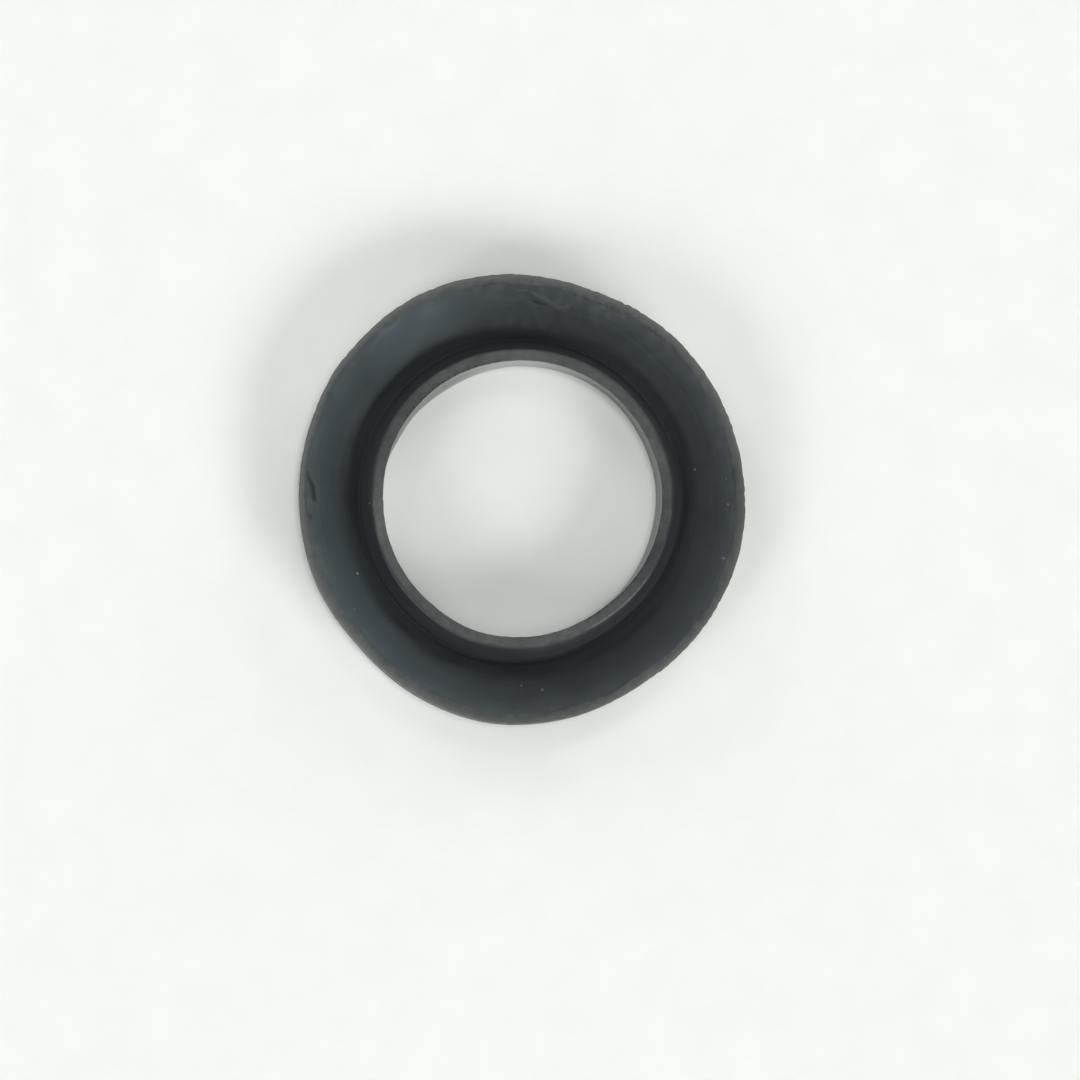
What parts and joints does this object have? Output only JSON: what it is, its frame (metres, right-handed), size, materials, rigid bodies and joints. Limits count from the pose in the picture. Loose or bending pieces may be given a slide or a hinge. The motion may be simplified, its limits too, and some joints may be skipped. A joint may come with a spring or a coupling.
{
  "type": "fuel cap gasket",
  "caption": "Round black rubber gasket for a fuel cap, with a raised lip round the bore, a groove outside it and a crowned face that climbs to a flat rim.",
  "frame": {"origin": "on the axis of the bore, at the height of the flat underside that the ring rests on", "axes": "+Z along the axis of the bore, from the flat underside towards the lip; X and Y are equal across a ring that is the same all the way round"},
  "size_m": [0.052, 0.052, 0.0058],
  "materials": {
    "rubber": "matte moulded black rubber, paler and dusty on the trimmed lip and rim"
  },
  "bodies": {
    "root": {"gasket": "rubber"}
  },
  "joints": []
}
